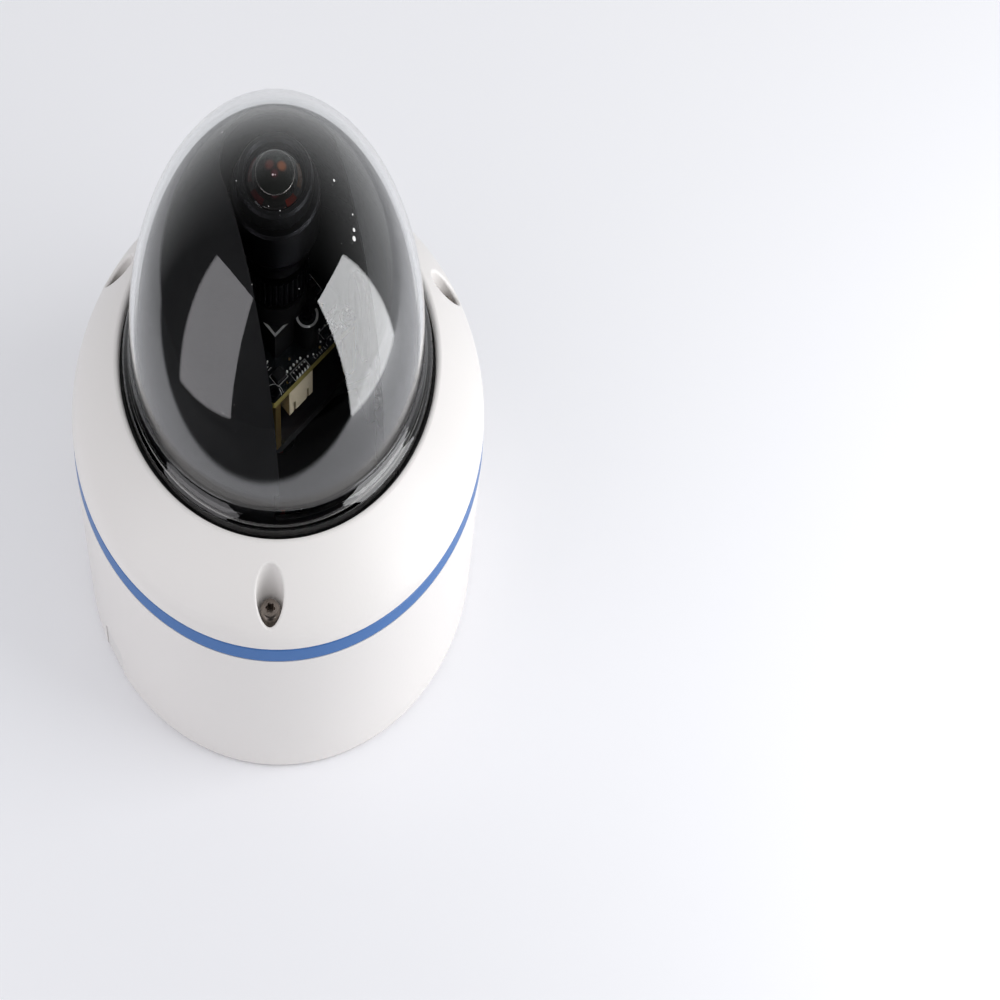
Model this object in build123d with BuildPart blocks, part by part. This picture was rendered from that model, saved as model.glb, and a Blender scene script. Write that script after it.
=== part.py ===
"""A dome security camera: a die-cast housing, a clear dome and a lens on a pan, tilt and roll mechanism.

The origin is the centre of the mounting face, +Z points up to the top of the dome, and the front is -Y.
The mechanism looks out of the dark liner's slot, which is turned to the right of the front.
"""
import math
import os

from build123d import *

# ---------------------------------------------------------------- driving dimensions (millimetres)

# Fits and gaps
turning_gap = 0.05          # radial clearance of a shaft in its bore, and of a thread in its hole
running_gap = 0.3           # gap between faces that turn past each other
seal_gap = 0.1              # gap left round a rubber seal

# Sensor board, which everything round it is sized from
sensor_board_size = 38.0
board_thickness = 1.6
board_bearing = 50.0        # degrees that the sensor board is turned to the right
board_above_tilt = 6.7      # top of the board above the tilt axis
board_corner = 1.0
board_hole_margin = 2.0
board_hole_radius = 1.1
board_swing = 9.3           # room beside the board for its corners when it rolls

# Tilt cradle, yoke and knobs
cheek_thickness = 2.0
cheek_half_width = 7.0
cradle_drop = 12.5          # under side of the cradle below the tilt axis
cradle_thickness = 2.0
cradle_half_width = 12.0
cradle_corner = 3.0
arm_thickness = 2.5
arm_half_width = 8.0
foot_length = 6.6
foot_thickness = 2.0
pivot_radius = 2.5
knob_radius = 5.5
knob_length = 4.0

# Roll plate
roll_plate_thickness = 2.0
roll_hub_radius = 8.0
roll_hub_bore = 4.0
roll_retainer_radius = 11.0
standoff_across_flats = 4.0
lead_radius = 0.5
lead_bend = 3.2
lead_spacing = 1.4
lead_count = 4

# Pan table and liner
mechanism_bearing = 27.5    # degrees that the slot and the tilt axis are turned to the right
foot_to_flange = 1.3
liner_flange_width = 4.1
liner_flange_thickness = 2.0
liner_skirt_wall = 1.4
liner_wall = 1.5
liner_ball_step = 4.9       # the ball of the liner outside its skirt
slot_left = 15.6
slot_right = 22.8
slot_end = 24.4
slot_drop = 13.5            # lower end of the slot below the liner's centre
table_margin = 0.7
table_thickness = 3.0
pan_hub_radius = 12.0
pan_hub_bore = 6.0
pan_retainer_radius = 17.0
retainer_thickness = 2.0

# Dome
liner_to_dome = 1.3
dome_wall = 1.6
dome_flare = 2.9            # how far the dome's foot spreads outside its ball
dome_foot_rise = 0.4        # upright part of the foot above the rim
dome_flare_height = 4.2     # of the curve from the foot to the ball
dome_play = 3.9             # from the ball to the cover's opening; the foot and the seal stand in it
dome_stand = 7.0            # centre of the dome above the cover's rim
flange_thickness = 2.5
dome_seal_thickness = 1.0
dome_seal_drop = 1.6        # top of the seal below the rim
seal_collar_height = 2.7
clamp_thickness = 2.0
clamp_play = 1.6
clamp_screw_count = 6
clamp_screw_offset = 5.7    # screw circle outside the dome
clamp_screw_radius = 1.1
clamp_screw_reach = 2.0     # thread in the cover lip

# Cover
rim_width = 2.0
seat_width = 4.1            # seat of the dome flange under the lip
cover_rise = 19.0
cover_upright = 1.0         # straight edge above the band
shoulder_pull = 5.0         # handles of the shoulder's curve
slope_run = 6.9
slope_drop = 4.7
lip_drop = 1.7              # how far the rounded lip falls into the opening
recess_drop = 8.5
skirt_wall = 3.0
skirt_gap = 0.3
groove_rise = 3.0
groove_height = 2.0
groove_depth = 1.6

# Cover screws
screw_count = 3
screw_to_seat = 6.1         # screw circle outside the flange seat
screw_to_side = 7.5         # screw circle inside the housing's side
screw_bearing = -85.0       # the front screw, degrees from +X
boss_radius = 4.8
boss_drop = 5.5             # boss top below the base's edge
cover_boss_radius = 6.8
pocket_radius = 4.8
pocket_rise = 3.0           # pocket floor above the cover's edge
pocket_round = 0.7
cover_screw_radius = 2.0
cover_screw_head_radius = 3.65
cover_screw_head_height = 2.6
cover_screw_length = 24.0
screw_washer_height = 0.8

# Base
base_height = 41.5
base_wall = 3.5
base_taper = 2.6            # how much narrower the base is at its foot
floor_thickness = 4.0
bottom_bevel = 1.2
band_height = 4.0           # blue band between base and cover
parting_bevel = 0.3
mounting_hole_radius = 2.5
mounting_circle_radius = 50.0
mounting_hole_count = 4
cable_hole_radius = 10.0
cable_bore_radius = 3.5
side_notch_width = 12.0
side_notch_height = 6.5
side_notch_bearing = 216.5  # degrees from +X

# Fixed chassis and main board
chassis_margin = 5.6        # chassis plate outside the dome
chassis_thickness = 2.0
post_inset = 5.0
post_radius = 3.3
board_to_posts = 6.0
main_board_height = 12.0
main_screw_inset = 5.0

# Lens
mount_size = 19.0
mount_cavity = 13.5
mount_ear_radius = 3.9
mount_ear_shift = 2.85      # of the ear's centre from the middle of its side
mount_ear_reach = 2.3       # of the ear's centre outside the block
mount_block_height = 6.5
mount_collar_radius = 10.0
mount_height = 11.0
barrel_radius = 8.0
barrel_bore = 6.4
barrel_low_height = 5.0     # above the board
barrel_drop = 3.0           # barrel's end behind the front of the head
focus_ring_radius = 11.0
focus_ring_low_gap = 2.0
focus_ring_top_gap = 1.5
head_length = 18.5
head_step_depth = 3.5       # narrower front of the head
head_radius = 14.5
head_front_radius = 12.25
front_glass_radius = 9.7
front_glass_rise = 1.8      # of the glass above the front ring
front_glass_thickness = 2.6
glass_to_dome = 1.5

# ---------------------------------------------------------------- values that follow

# Outwards from the sensor board
cheek_inner = sensor_board_size / 2 + board_swing
cheek_outer = cheek_inner + cheek_thickness
arm_inner = cheek_outer + running_gap
foot_reach = arm_inner + foot_length
liner_flange_inner = foot_reach + foot_to_flange
liner_skirt_radius = liner_flange_inner + liner_flange_width
liner_radius = liner_skirt_radius + liner_ball_step
table_radius = liner_skirt_radius + table_margin
dome_inner = liner_radius + liner_to_dome
dome_radius = dome_inner + dome_wall
dome_foot_radius = dome_radius + dome_flare
dome_foot_inner = dome_inner + dome_flare
opening_radius = dome_radius + dome_play
rim_radius = opening_radius + rim_width
recess_radius = opening_radius + seat_width
flange_radius = recess_radius - running_gap
clamp_inner_radius = dome_radius + clamp_play
clamp_screw_circle = dome_radius + clamp_screw_offset
screw_circle_radius = recess_radius + screw_to_seat
body_radius = screw_circle_radius + screw_to_side
base_inner = body_radius - base_wall
foot_radius = body_radius - base_taper
skirt_outer = base_inner - skirt_gap
skirt_inner = skirt_outer - skirt_wall
chassis_radius = dome_radius + chassis_margin
post_circle_radius = chassis_radius - post_inset
main_board_radius = post_circle_radius - board_to_posts
main_screw_circle = main_board_radius - main_screw_inset
board_hole_offset = sensor_board_size / 2 - board_hole_margin

# Upwards from the mounting face
floor_top = floor_thickness
boss_top = base_height - boss_drop
cover_low = base_height + band_height
pocket_floor = cover_low + pocket_rise
groove_low = boss_top + groove_rise
rim_height = cover_low + cover_rise
recess_low = rim_height - recess_drop
dome_seal_top = rim_height - dome_seal_drop
lip_under = dome_seal_top - seal_collar_height
flange_top = lip_under - dome_seal_thickness
flange_low = flange_top - flange_thickness
clamp_low = flange_low - clamp_thickness
chassis_low = boss_top
chassis_top = chassis_low + chassis_thickness
table_low = chassis_top + running_gap
table_top = table_low + table_thickness
pan_hub_low = chassis_low - running_gap
dome_centre_height = rim_height + dome_stand
dome_foot_top = rim_height + dome_foot_rise
slot_low = dome_centre_height - slot_drop
tilt_height = dome_centre_height
cradle_low = tilt_height - cradle_drop
cradle_top = cradle_low + cradle_thickness
roll_hub_low = cradle_low - running_gap
roll_plate_low = cradle_top + running_gap
roll_plate_top = roll_plate_low + roll_plate_thickness
sensor_board_top = tilt_height + board_above_tilt
sensor_board_low = sensor_board_top - board_thickness
barrel_low = sensor_board_top + barrel_low_height
glass_top = dome_centre_height + dome_inner - glass_to_dome
head_front = glass_top - front_glass_rise
barrel_top = head_front - barrel_drop

mechanism = Plane(
    origin=(0, 0, 0),
    x_dir=(math.cos(math.radians(mechanism_bearing)), math.sin(math.radians(mechanism_bearing)), 0),
    z_dir=(0, 0, 1),
)
board_plane = Plane(
    origin=(0, 0, 0),
    x_dir=(math.cos(math.radians(board_bearing)), math.sin(math.radians(board_bearing)), 0),
    z_dir=(0, 0, 1),
)


# ---------------------------------------------------------------- helpers

def around(radius, count, first_angle):
    """Places on a circle, evenly spaced, from an angle in degrees."""
    angles = [math.radians(first_angle + 360 / count * step) for step in range(count)]
    return [(radius * math.cos(angle), radius * math.sin(angle)) for angle in angles]


def column(low, high, radius, bore=0.0, places=((0, 0),), plane=Plane.XY, mode=Mode.ADD):
    """An upright cylinder, or a tube where a bore is given, at each place."""
    with BuildSketch(plane.offset(low)) as section:
        with Locations(*places):
            Circle(radius)
        if bore:
            with Locations(*places):
                Circle(bore, mode=Mode.SUBTRACT)
    extrude(section.sketch, amount=high - low, mode=mode)


def block(low, high, length, width, places=((0, 0),), corner=0.0, plane=Plane.XY, mode=Mode.ADD):
    """An upright box, with rounded corners where a radius is given, at each place."""
    with BuildSketch(plane.offset(low)) as section:
        with Locations(*places):
            if corner:
                RectangleRounded(length, width, corner)
            else:
                Rectangle(length, width)
    extrude(section.sketch, amount=high - low, mode=mode)


def turned(points, mode=Mode.ADD):
    """A ring whose section is the closed outline through points (radius, height)."""
    with BuildSketch(Plane.XZ) as section:
        with BuildLine():
            Polyline(*points, close=True)
        make_face()
    revolve(section.sketch, axis=Axis.Z, mode=mode)


def pan_screws(seat, places, radius, length, plane=Plane.XY, upwards=False):
    """Cross-head screws whose heads sit on the seat height; upwards ones point up with the head below."""
    head_radius = 1.85 * radius
    head_height = 1.2 * radius
    sense = -1 if upwards else 1
    head_end = seat + sense * head_height
    slot_end_height = head_end - sense * 0.5 * head_height
    column(min(seat, head_end), max(seat, head_end), head_radius, places=places, plane=plane)
    tip = seat - sense * length
    column(min(seat, tip), max(seat, tip), radius, places=places, plane=plane)
    for length_x, length_y in ((1.2 * head_radius, 0.3 * radius), (0.3 * radius, 1.2 * head_radius)):
        block(min(head_end, slot_end_height), max(head_end, slot_end_height), length_x, length_y,
              places=places, plane=plane, mode=Mode.SUBTRACT)


def bundle(starts, ends, run_height, plane=Plane.XY):
    """Leads that each leave their start upright, cross over at the run height and go on upright to their end."""
    for start, end in zip(starts, ends):
        corners = [start, (start[0], start[1], run_height), (end[0], end[1], run_height), end]
        corners = [plane.from_local_coords(corner) for corner in corners]
        with BuildLine() as lead_line:
            FilletPolyline(*corners, radius=lead_bend)
        with BuildSketch(Plane(origin=corners[0], z_dir=corners[1] - corners[0])) as lead_section:
            Circle(lead_radius)
        sweep(lead_section.sketch, path=lead_line.wire())


def cap_arc(radius, edge_height, apex_height):
    """Half of a spherical cap's section, from the axis to its edge."""
    rise = apex_height - edge_height
    sphere_radius = (radius ** 2 + rise ** 2) / (2 * rise)
    half_angle = math.degrees(math.asin(radius / sphere_radius))
    CenterArc((0, apex_height - sphere_radius), sphere_radius, 90 - half_angle, half_angle)


cover_screw_places = around(screw_circle_radius, screw_count, screw_bearing)
clamp_screw_places = around(clamp_screw_circle, clamp_screw_count, screw_bearing + 30)
post_places = around(post_circle_radius, screw_count, screw_bearing + 60)
mounting_places = around(mounting_circle_radius, mounting_hole_count, 45)
board_hole_places = [(x * board_hole_offset, y * board_hole_offset) for x in (-1, 1) for y in (-1, 1)]
pieces = {}

# ---------------------------------------------------------------- housing

notch_direction = math.radians(side_notch_bearing)
notch_plane = Plane(
    origin=(0, 0, 0),
    x_dir=(-math.sin(notch_direction), math.cos(notch_direction), 0),
    z_dir=(math.cos(notch_direction), math.sin(notch_direction), 0),
)
notch_inner = base_inner - base_taper - 2.0
notch_centre_height = side_notch_height / 2
notch_outline_height = side_notch_height + 4.0      # the outline runs on below the mounting face
notch_corner = 1.9
thread_depth = 15.0


def base_form(inset):
    """Outline of the tapered base with its bevelled foot, drawn in all round by the inset."""
    return [(0, 0), (foot_radius - bottom_bevel - inset, 0), (foot_radius - inset, bottom_bevel),
            (body_radius - inset, base_height), (0, base_height)]


with BuildPart() as base_housing:
    turned(base_form(0))
    turned([(0, floor_top), (base_inner - base_taper, floor_top), (base_inner, boss_top),
            (base_inner, base_height), (0, base_height)], mode=Mode.SUBTRACT)
    column(floor_top - 1.0, boss_top, boss_radius, places=cover_screw_places)
    column(boss_top - thread_depth, boss_top, cover_screw_radius + turning_gap,
           places=cover_screw_places, mode=Mode.SUBTRACT)
    column(0, floor_top, mounting_hole_radius, places=mounting_places, mode=Mode.SUBTRACT)
    column(0, floor_top, cable_hole_radius, mode=Mode.SUBTRACT)
    with BuildSketch(notch_plane.offset(notch_inner)) as notch_outline:
        with Locations((0, notch_centre_height)):
            RectangleRounded(side_notch_width, notch_outline_height, notch_corner)
    extrude(notch_outline.sketch, amount=body_radius, mode=Mode.SUBTRACT)
pieces["base_housing"] = base_housing

plug_recess = 0.3
plug_gap = 0.2
with BuildPart() as side_notch_plug:
    with BuildSketch(notch_plane.offset(notch_inner + running_gap)) as plug_outline:
        with Locations((0, notch_centre_height)):
            RectangleRounded(side_notch_width - 2 * plug_gap, notch_outline_height - 2 * plug_gap,
                             notch_corner - plug_gap)
        with Locations((0, -side_notch_height / 2)):
            Rectangle(2 * side_notch_width, side_notch_height, mode=Mode.SUBTRACT)
    extrude(plug_outline.sketch, amount=body_radius)
    turned(base_form(plug_recess), mode=Mode.INTERSECT)
pieces["side_notch_plug"] = side_notch_plug

with BuildPart() as accent_band:
    column(base_height, cover_low, body_radius, bore=base_inner)
    chamfer(accent_band.edges().filter_by(GeomType.CIRCLE).group_by(SortBy.RADIUS)[-1], parting_bevel)
pieces["accent_band"] = accent_band

# ---------------------------------------------------------------- cover

shoulder_start = cover_low + cover_upright
lip_pull = 0.8              # handles of the rounded lip's curve
lip_end = rim_height - lip_drop
groove_bottom = skirt_outer - groove_depth
washer_radius = cover_screw_head_radius - 0.2
screw_seat = pocket_floor + screw_washer_height

with BuildPart() as cover_cavity:
    turned([(0, boss_top), (skirt_inner, boss_top), (skirt_inner, recess_low - (skirt_inner - recess_radius)),
            (recess_radius, recess_low), (recess_radius, lip_under), (opening_radius, lip_under),
            (opening_radius, rim_height + lip_drop), (0, rim_height + lip_drop)])
    column(boss_top, recess_low, cover_boss_radius, places=cover_screw_places, mode=Mode.SUBTRACT)
    column(clamp_low - running_gap, recess_low, recess_radius)

with BuildPart() as cover_housing:
    with BuildSketch(Plane.XZ):
        with BuildLine():
            Polyline((0, boss_top), (skirt_outer, boss_top), (skirt_outer, cover_low),
                     (body_radius, cover_low), (body_radius, shoulder_start))
            Bezier((body_radius, shoulder_start), (body_radius, shoulder_start + shoulder_pull),
                   (rim_radius + slope_run, rim_height - slope_drop), (rim_radius, rim_height))
            Bezier((rim_radius, rim_height), (rim_radius - lip_pull, rim_height + lip_pull / 2),
                   (opening_radius, rim_height + lip_pull / 2), (opening_radius, lip_end))
            Polyline((opening_radius, lip_end), (0, lip_end), (0, boss_top))
        make_face()
    revolve(axis=Axis.Z)
    chamfer(cover_housing.edges().filter_by(GeomType.CIRCLE).filter_by(
        lambda edge: abs(edge.radius - body_radius) < 0.01 and abs(edge.center().Z - cover_low) < 0.01),
        parting_bevel)
    add(cover_cavity.part, mode=Mode.SUBTRACT)
    column(groove_low, groove_low + groove_height, skirt_outer + 1, bore=groove_bottom, mode=Mode.SUBTRACT)
    column(pocket_floor, rim_height, pocket_radius, places=cover_screw_places, mode=Mode.SUBTRACT)
    pocket_rims = cover_housing.edges().filter_by(
        lambda edge: edge.geom_type == GeomType.BSPLINE and edge.bounding_box().min.Z > pocket_floor + 1)
    fillet(pocket_rims, pocket_round)
    column(boss_top, pocket_floor, cover_screw_radius + 0.25, places=cover_screw_places, mode=Mode.SUBTRACT)
    column(lip_under, lip_under + clamp_screw_reach + running_gap, clamp_screw_radius + turning_gap,
           places=clamp_screw_places, mode=Mode.SUBTRACT)
pieces["cover_housing"] = cover_housing

seal_radius = (base_inner - groove_bottom) / 2 - turning_gap
with BuildPart() as cover_seal:
    with BuildSketch(Plane.XZ) as seal_section:
        with Locations(((base_inner + groove_bottom) / 2, groove_low + groove_height / 2)):
            Circle(seal_radius)
    revolve(seal_section.sketch, axis=Axis.Z)
pieces["cover_seal"] = cover_seal

with BuildPart() as cover_screw_washers:
    column(pocket_floor, screw_seat, washer_radius, bore=cover_screw_radius + 0.2, places=cover_screw_places)
pieces["cover_screw_washers"] = cover_screw_washers

head_top = screw_seat + cover_screw_head_height
cover_screw_head_round = 1.1
star_radius, star_lobe_radius, star_depth = 1.35, 0.42, 1.5
with BuildPart() as cover_screws:
    column(screw_seat, head_top, cover_screw_head_radius, places=cover_screw_places)
    fillet(cover_screws.edges().group_by(Axis.Z)[-1], cover_screw_head_round)
    column(screw_seat - cover_screw_length, screw_seat, cover_screw_radius, places=cover_screw_places)
    with BuildSketch(Plane.XY.offset(head_top - star_depth)) as star_drive:
        for x, y in cover_screw_places:
            with Locations((x, y)):
                Circle(star_radius)
                with PolarLocations(star_radius, 6):
                    Circle(star_lobe_radius)
    extrude(star_drive.sketch, amount=star_depth, mode=Mode.SUBTRACT)
pieces["cover_screws"] = cover_screws

# ---------------------------------------------------------------- dome

flare_top = dome_foot_top + dome_flare_height
flare_bend = (dome_foot_top + flare_top) / 2    # where the foot's curve turns

with BuildPart() as dome_bubble:
    with BuildSketch(Plane.XZ):
        with BuildLine():
            Line((dome_inner, dome_centre_height), (dome_inner, flare_top))
            Bezier((dome_inner, flare_top), (dome_inner, flare_bend),
                   (dome_foot_inner, flare_bend), (dome_foot_inner, dome_foot_top))
            Polyline((dome_foot_inner, dome_foot_top), (dome_foot_inner, flange_low),
                     (flange_radius, flange_low), (flange_radius, flange_top),
                     (dome_foot_radius, flange_top), (dome_foot_radius, dome_foot_top))
            Bezier((dome_foot_radius, dome_foot_top), (dome_foot_radius, flare_bend),
                   (dome_radius, flare_bend), (dome_radius, flare_top))
            Line((dome_radius, flare_top), (dome_radius, dome_centre_height))
            CenterArc((0, dome_centre_height), dome_radius, 0, 90)
            Line((0, dome_centre_height + dome_radius), (0, dome_centre_height + dome_inner))
            CenterArc((0, dome_centre_height), dome_inner, 0, 90)
        make_face()
    revolve(axis=Axis.Z)
    column(flange_low, flange_top, clamp_screw_radius + 0.2, places=clamp_screw_places, mode=Mode.SUBTRACT)
pieces["dome_bubble"] = dome_bubble

with BuildPart() as dome_seal:
    turned([(dome_foot_radius + seal_gap, flange_top), (flange_radius, flange_top),
            (flange_radius, lip_under), (opening_radius - turning_gap, lip_under),
            (opening_radius - turning_gap, dome_seal_top), (dome_foot_radius + seal_gap, dome_seal_top)])
    column(flange_top, lip_under, clamp_screw_radius + 0.2, places=clamp_screw_places, mode=Mode.SUBTRACT)
pieces["dome_seal"] = dome_seal

with BuildPart() as dome_clamp_ring:
    column(clamp_low, flange_low, flange_radius, bore=clamp_inner_radius)
    column(clamp_low, flange_low, clamp_screw_radius + turning_gap, places=clamp_screw_places,
           mode=Mode.SUBTRACT)
pieces["dome_clamp_ring"] = dome_clamp_ring

with BuildPart() as clamp_screws:
    pan_screws(clamp_low, clamp_screw_places, clamp_screw_radius,
               lip_under + clamp_screw_reach - clamp_low, upwards=True)
pieces["clamp_screws"] = clamp_screws

# ---------------------------------------------------------------- electronics in the base

main_board_top = main_board_height + board_thickness
main_board_places = around(main_screw_circle, 4, 20)
main_screw_radius = 1.5
main_screw_length = 6.0
main_standoff_radius = 3.0

grommet_sink = 0.4          # below the mounting face's edge
grommet_plug_radius = cable_hole_radius - turning_gap
grommet_lip_radius = cable_hole_radius + 3.0
grommet_lip_top = floor_top + 1.6
grommet_neck_radius = cable_bore_radius + 2.0
grommet_top = floor_top + 3.0
with BuildPart() as cable_grommet:
    turned([(cable_bore_radius, grommet_sink), (grommet_plug_radius, grommet_sink),
            (grommet_plug_radius, floor_top), (grommet_lip_radius, floor_top),
            (grommet_lip_radius, grommet_lip_top), (grommet_neck_radius, grommet_top),
            (cable_bore_radius, grommet_top)])
pieces["cable_grommet"] = cable_grommet

with BuildPart() as main_board_standoffs:
    column(floor_top, main_board_height, main_standoff_radius, places=main_board_places)
    column(main_board_top - main_screw_length - running_gap, main_board_height,
           main_screw_radius + turning_gap, places=main_board_places, mode=Mode.SUBTRACT)
pieces["main_board_standoffs"] = main_board_standoffs

with BuildPart() as main_board:
    column(main_board_height, main_board_top, main_board_radius)
    column(main_board_height, main_board_top, main_screw_radius + 0.1, places=main_board_places,
           mode=Mode.SUBTRACT)
pieces["main_board"] = main_board

with BuildPart() as main_board_screws:
    pan_screws(main_board_top, main_board_places, main_screw_radius, main_screw_length)
pieces["main_board_screws"] = main_board_screws

processor_size = 14.0
memory_length, memory_width = 9.0, 12.0
small_chip_length, small_chip_width = 6.0, 5.0
processor_height, memory_height, small_chip_height = 1.4, 1.2, 1.0
processor_place = (4.0, 6.0)
memory_place = (-14.0, 8.0)
small_chip_places = [(23.0, -6.0), (-2.0, -10.0), (26.0, 8.0)]
with BuildPart() as main_board_chips:
    block(main_board_top, main_board_top + processor_height, processor_size, processor_size,
          places=[processor_place])
    block(main_board_top, main_board_top + memory_height, memory_length, memory_width,
          places=[memory_place])
    block(main_board_top, main_board_top + small_chip_height, small_chip_length, small_chip_width,
          places=small_chip_places)
pieces["main_board_chips"] = main_board_chips

jack_width, jack_length, jack_height = 16.0, 20.0, 13.4
jack_place = (-20.0, -17.0)
socket_width, socket_depth, socket_low, socket_high = 11.8, 13.0, 2.5, 10.0
socket_place = (jack_place[0], jack_place[1] - (jack_length - socket_depth) / 2)
with BuildPart() as network_jack:
    block(main_board_top, main_board_top + jack_height, jack_width, jack_length, places=[jack_place])
    block(main_board_top + socket_low, main_board_top + socket_high, socket_width, socket_depth,
          places=[socket_place], mode=Mode.SUBTRACT)
pieces["network_jack"] = network_jack

capacitor_radius, capacitor_height, capacitor_round = 4.0, 11.0, 0.5
capacitor_places = [(8.0, -22.0), (18.0, -22.0), (28.0, -12.0)]
with BuildPart() as board_capacitors:
    column(main_board_top, main_board_top + capacitor_height, capacitor_radius, places=capacitor_places)
    fillet(board_capacitors.edges().group_by(Axis.Z)[-1], capacitor_round)
pieces["board_capacitors"] = board_capacitors

connector_length = 10.6
connector_width = 4.6
pin_pitch = 2.0
pin_row = [(step - (lead_count - 1) / 2) * pin_pitch for step in range(lead_count)]
lead_row = [(step - (lead_count - 1) / 2) * lead_spacing for step in range(lead_count)]
lead_offset = 0.4           # of the lead row from the axis

header_place = (14.0, 0.0)
header_height = 5.0
header_top = main_board_top + header_height
with BuildPart() as base_connector:
    block(main_board_top, header_top, connector_width, connector_length, places=[header_place])
pieces["base_connector"] = base_connector

with BuildPart() as base_leads:
    bundle([(header_place[0], header_place[1] + pin, header_top) for pin in pin_row],
           [(lead_offset, lead, table_top) for lead in lead_row], header_top + lead_bend + lead_offset)
pieces["base_leads"] = base_leads

# ---------------------------------------------------------------- fixed chassis

post_screw_radius = 1.5
post_screw_length = 8.0
vent_slot_circle = 30.0
vent_slot_width = 8.0
vent_slot_angle = 56.0

with BuildPart() as chassis_posts:
    with BuildSketch(Plane.XY.offset(floor_top)) as post_section:
        with Locations(*post_places):
            RegularPolygon(post_radius, 6)
    extrude(post_section.sketch, amount=chassis_low - floor_top)
    column(chassis_low - post_screw_length, chassis_low, post_screw_radius + turning_gap, places=post_places,
           mode=Mode.SUBTRACT)
pieces["chassis_posts"] = chassis_posts

with BuildPart() as chassis_plate:
    column(chassis_low, chassis_top, chassis_radius, bore=pan_hub_radius + turning_gap)
    column(chassis_low, chassis_top, post_screw_radius + 0.1, places=post_places, mode=Mode.SUBTRACT)
    with BuildSketch(Plane.XY.offset(chassis_low)) as vent_slots:
        for step in range(screw_count):
            slot_bearing = screw_bearing + 360 / screw_count * step
            SlotArc(CenterArc((0, 0), vent_slot_circle, slot_bearing - vent_slot_angle / 2, vent_slot_angle,
                              mode=Mode.PRIVATE), vent_slot_width)
    extrude(vent_slots.sketch, amount=chassis_thickness, mode=Mode.SUBTRACT)
pieces["chassis_plate"] = chassis_plate

with BuildPart() as chassis_screws:
    pan_screws(chassis_top, post_places, post_screw_radius, post_screw_length)
pieces["chassis_screws"] = chassis_screws

# ---------------------------------------------------------------- pan table and liner

retainer_screw_radius = 1.0
retainer_screw_places = around((pan_hub_bore + pan_hub_radius) / 2, 3, 90)
foot_screw_radius = 1.25
foot_screw_length = 4.0
foot_screw_inset = 1.6
foot_screw_spread = 4.5
foot_centre = foot_reach - foot_screw_inset
foot_screw_places = [(x * foot_centre, y * foot_screw_spread) for x in (-1, 1) for y in (-1, 1)]
liner_screw_radius = 1.0
liner_screw_length = 4.0
liner_screw_inset = 1.9
liner_screw_places = around(liner_skirt_radius - liner_skirt_wall - liner_screw_inset, 3, 90)
pan_retainer_low = pan_hub_low - retainer_thickness
retainer_screw_grip = 2.5   # thread in the hub
table_skin = 0.5            # left below the screw holes of the table

with BuildPart() as pan_table:
    column(table_low, table_top, table_radius, plane=mechanism)
    column(pan_hub_low, table_low, pan_hub_radius, plane=mechanism)
    column(pan_hub_low, table_top, pan_hub_bore, plane=mechanism, mode=Mode.SUBTRACT)
    column(pan_hub_low, pan_hub_low + retainer_screw_grip + running_gap,
           retainer_screw_radius + turning_gap,
           places=retainer_screw_places, plane=mechanism, mode=Mode.SUBTRACT)
    column(table_low + table_skin, table_top, foot_screw_radius + turning_gap, places=foot_screw_places,
           plane=mechanism, mode=Mode.SUBTRACT)
    column(table_low + table_skin, table_top, liner_screw_radius + turning_gap, places=liner_screw_places,
           plane=mechanism, mode=Mode.SUBTRACT)
pieces["pan_table"] = pan_table

with BuildPart() as pan_retainer:
    column(pan_retainer_low, pan_hub_low, pan_retainer_radius, bore=pan_hub_bore, plane=mechanism)
    column(pan_retainer_low, pan_hub_low, retainer_screw_radius + turning_gap,
           places=retainer_screw_places, plane=mechanism, mode=Mode.SUBTRACT)
pieces["pan_retainer"] = pan_retainer

with BuildPart() as pan_retainer_screws:
    pan_screws(pan_retainer_low, retainer_screw_places, retainer_screw_radius,
               retainer_thickness + retainer_screw_grip, plane=mechanism, upwards=True)
pieces["pan_retainer_screws"] = pan_retainer_screws

liner_inner = liner_radius - liner_wall
skirt_wall_inner = liner_skirt_radius - liner_skirt_wall
ledge_top = dome_centre_height + liner_wall
ledge_inner = math.sqrt(liner_inner ** 2 - liner_wall ** 2)
ledge_angle = math.degrees(math.asin(liner_wall / liner_inner))
slot_width = slot_left + slot_right
slot_centre = (slot_right - slot_left) / 2
slot_round_centre = slot_end - slot_width / 2
flange_screw_top = table_top + liner_flange_thickness

with BuildPart() as inner_liner:
    with BuildSketch(Plane.XZ):
        with BuildLine():
            Polyline((ledge_inner, ledge_top), (skirt_wall_inner, ledge_top),
                     (skirt_wall_inner, flange_screw_top), (liner_flange_inner, flange_screw_top),
                     (liner_flange_inner, table_top), (liner_skirt_radius, table_top),
                     (liner_skirt_radius, dome_centre_height), (liner_radius, dome_centre_height))
            CenterArc((0, dome_centre_height), liner_radius, 0, 90)
            Line((0, dome_centre_height + liner_radius), (0, dome_centre_height + liner_inner))
            CenterArc((0, dome_centre_height), liner_inner, ledge_angle, 90 - ledge_angle)
        make_face()
    revolve(axis=Axis.Z)
    with BuildSketch(mechanism.offset(slot_low)) as liner_slot:
        with Locations((slot_centre, slot_round_centre)):
            Circle(slot_width / 2)
        with Locations((slot_centre, slot_round_centre - liner_radius)):
            Rectangle(slot_width, 2 * liner_radius)
    extrude(liner_slot.sketch, amount=2 * liner_radius, mode=Mode.SUBTRACT)
    column(table_top, flange_screw_top, liner_screw_radius + 0.1, places=liner_screw_places,
           plane=mechanism, mode=Mode.SUBTRACT)
pieces["inner_liner"] = inner_liner

with BuildPart() as liner_screws:
    pan_screws(flange_screw_top, liner_screw_places, liner_screw_radius, liner_screw_length, plane=mechanism)
pieces["liner_screws"] = liner_screws

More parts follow.
